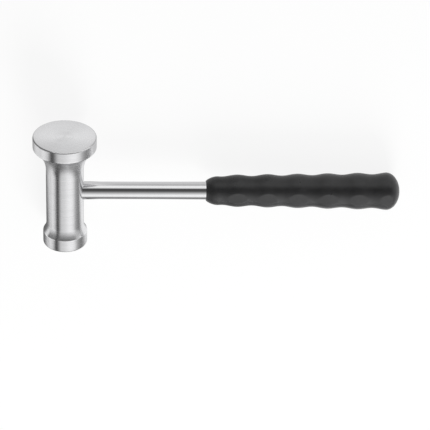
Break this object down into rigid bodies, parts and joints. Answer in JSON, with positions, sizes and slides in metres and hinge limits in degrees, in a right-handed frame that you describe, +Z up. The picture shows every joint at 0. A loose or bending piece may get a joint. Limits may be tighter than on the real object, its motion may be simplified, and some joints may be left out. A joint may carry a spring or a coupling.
{
  "type": "bone mallet",
  "caption": "Surgical bone mallet: waisted stainless head with a large and a small striking face, bare polished rod and a wavy black silicone grip.",
  "frame": {"origin": "On the surface that the mallet lies on, under the centre of its outer box.", "axes": "+X along the handle from the head to the grip, +Y along the head to its large face, +Z up from the surface. The mallet lies on its large rim, its small collar and the end of its grip, so the head leans 4.9 degrees and the handle drops 1.6 degrees."},
  "size_m": [0.2446, 0.085, 0.0424],
  "materials": {
    "head_steel": "satin turned, with fine rings round the head's axis",
    "rod_steel": "polished bar with faint rings round its axis",
    "black_silicone": "fine matt moulded silicone"
  },
  "bodies": {
    "root": {"mallet_head": "head_steel", "handle_rod": "rod_steel", "grip": "black_silicone"}
  },
  "joints": []
}
